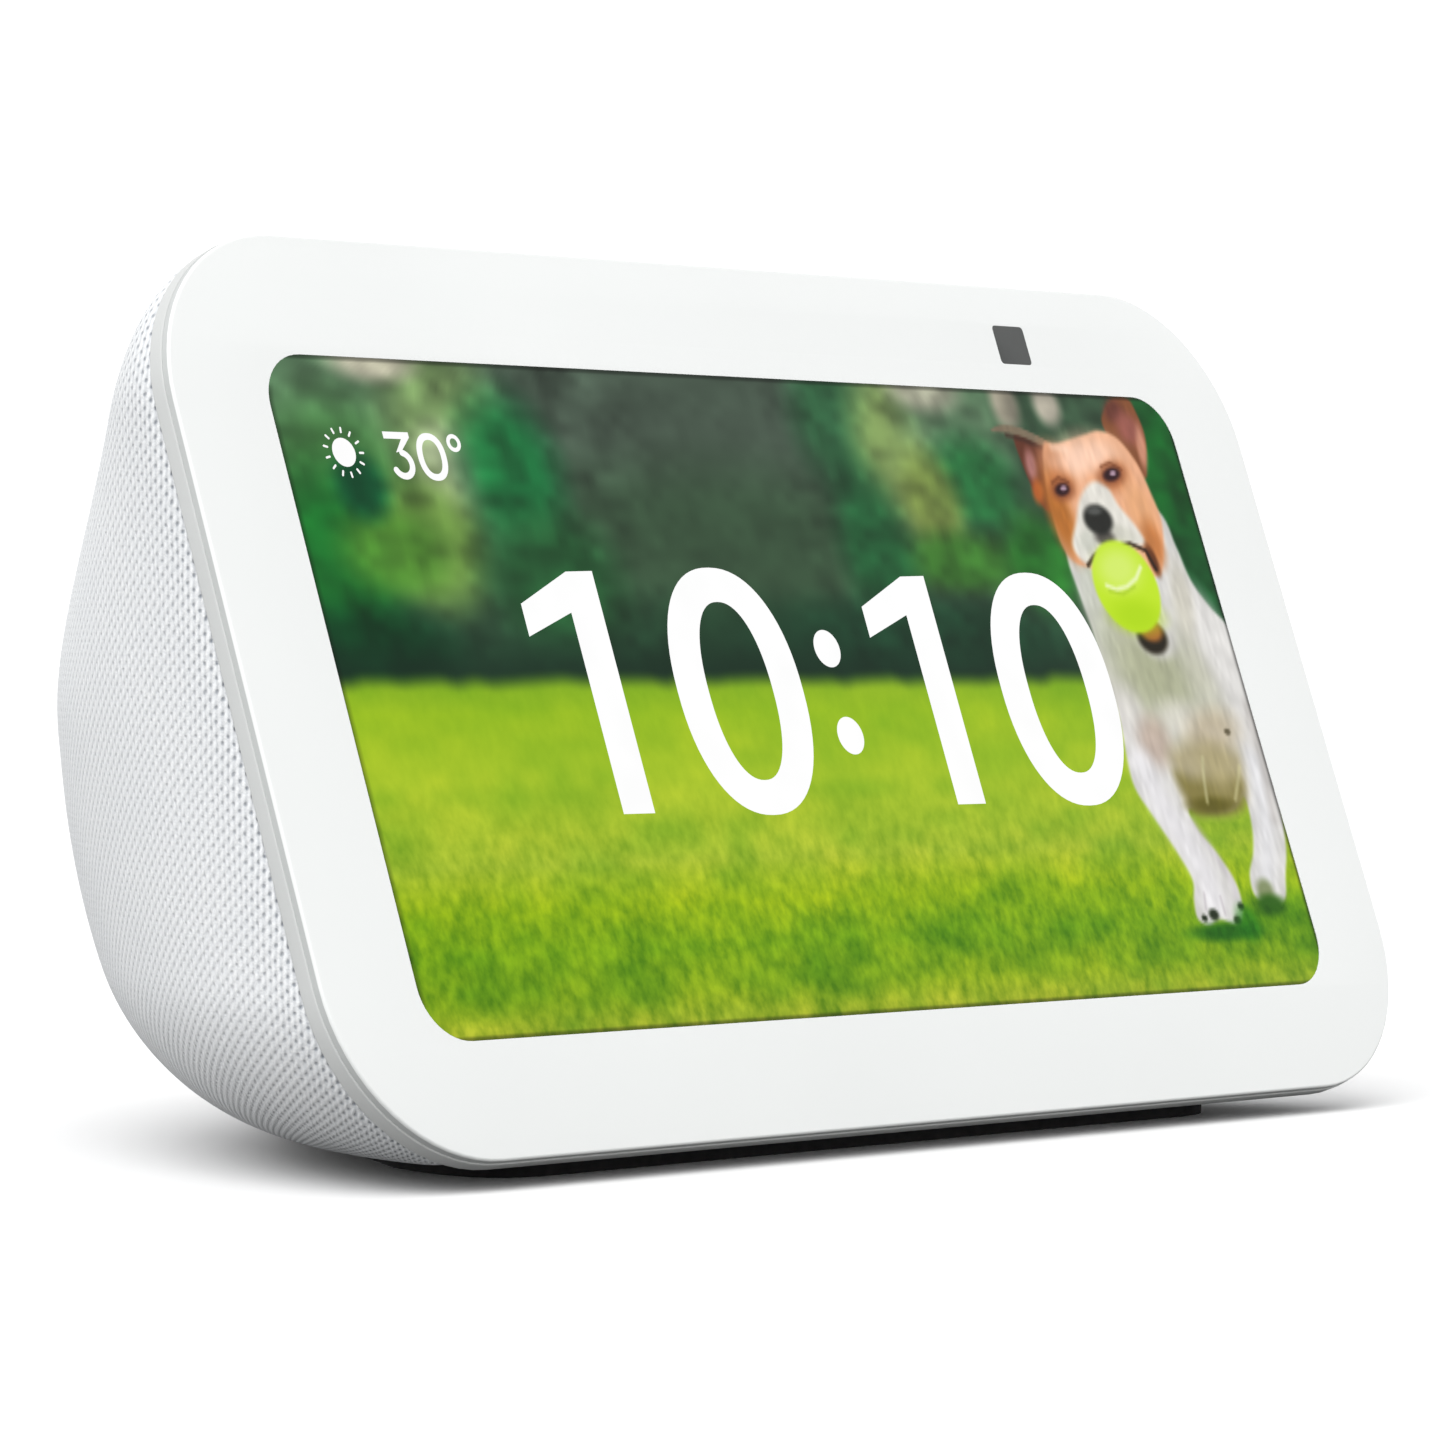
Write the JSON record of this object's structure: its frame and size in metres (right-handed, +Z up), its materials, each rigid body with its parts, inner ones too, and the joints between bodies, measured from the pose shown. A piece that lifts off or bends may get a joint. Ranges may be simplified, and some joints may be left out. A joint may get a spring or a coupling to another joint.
{
  "type": "smart speaker",
  "caption": "Table-top smart speaker: leaning touchscreen front on a rounded knit-covered body, with sliding camera shutter, top push buttons, loudspeaker and rubber foot.",
  "frame": {"origin": "on the resting surface, under the centre of the object's box", "axes": "+X the viewer's right, -Y towards the viewer, +Z up"},
  "size_m": [0.147, 0.0908, 0.0821],
  "materials": {
    "white_plastic": "fine satin moulded finish",
    "glass_mask": "white-masked cover glass, glossy",
    "display": "lit display picture",
    "knit_fabric": "fine acoustic knit, matt",
    "grey_plastic": "moulded, matt",
    "black_plastic": "moulded, satin",
    "black_rubber": "matt rubber",
    "circuit_board": "solder-masked glass-fibre board",
    "plated_steel": "plated sheet",
    "copper_foil": "copper foil and wire",
    "cone_paper": "treated cone paper",
    "adhesive": "foam adhesive"
  },
  "bodies": {
    "case": {"front_bezel_frame": "white_plastic", "cover_glass": "glass_mask", "glass_gasket": "adhesive", "display_module": "display", "backlight_tray": "plated_steel", "display_chassis": "black_plastic", "display_flex": "copper_foil", "camera_module": "black_plastic", "main_board": "circuit_board", "processor_shield": "plated_steel", "heat_spreader": "plated_steel", "fabric_cover": "knit_fabric", "rear_housing": "grey_plastic", "inlet_housing": "grey_plastic", "top_control_strip": "white_plastic", "switch_mute": "black_plastic", "switch_volume_down": "black_plastic", "switch_volume_up": "black_plastic", "button_board": "circuit_board", "microphone_left": "plated_steel", "microphone_right": "plated_steel", "speaker_basket": "plated_steel", "speaker_surround": "black_rubber", "speaker_spider": "cone_paper", "speaker_magnet": "plated_steel", "speaker_enclosure": "black_plastic", "port_bezel": "white_plastic", "power_socket": "black_plastic", "power_board": "circuit_board", "power_lead": "black_rubber", "speaker_lead": "black_rubber", "antenna_left": "copper_foil", "antenna_right": "copper_foil", "base_plate": "grey_plastic", "base_screw_1": "plated_steel", "base_screw_2": "plated_steel", "base_screw_3": "plated_steel", "base_screw_4": "plated_steel", "foot_pad": "black_rubber"},
    "shutter": {"camera_shutter": "white_plastic"},
    "mute_button": {"button_mute": "white_plastic"},
    "volume_down_button": {"button_volume_down": "white_plastic"},
    "volume_up_button": {"button_volume_up": "white_plastic"},
    "cone_assembly": {"speaker_cone": "cone_paper", "dust_cap": "cone_paper", "voice_coil": "copper_foil"}
  },
  "joints": [
    {"name": "shutter_slide", "type": "slide", "parent": "case", "child": "shutter", "axis": [1, 0, 0], "range_m": [0, 0.006]},
    {"name": "mute_press", "type": "slide", "parent": "case", "child": "mute_button", "axis": [0, -0.2079, -0.9781], "range_m": [0, 0.0004], "stiffness_N_per_m": 3000},
    {"name": "volume_down_press", "type": "slide", "parent": "case", "child": "volume_down_button", "axis": [0, -0.2079, -0.9781], "range_m": [0, 0.0004], "stiffness_N_per_m": 3000},
    {"name": "volume_up_press", "type": "slide", "parent": "case", "child": "volume_up_button", "axis": [0, -0.2079, -0.9781], "range_m": [0, 0.0004], "stiffness_N_per_m": 3000},
    {"name": "cone_travel", "type": "slide", "parent": "case", "child": "cone_assembly", "axis": [0, 0.8192, 0.5736], "range_m": [-0.0015, 0.0015], "stiffness_N_per_m": 1300, "deforming": ["speaker_surround", "speaker_spider"]}
  ]
}
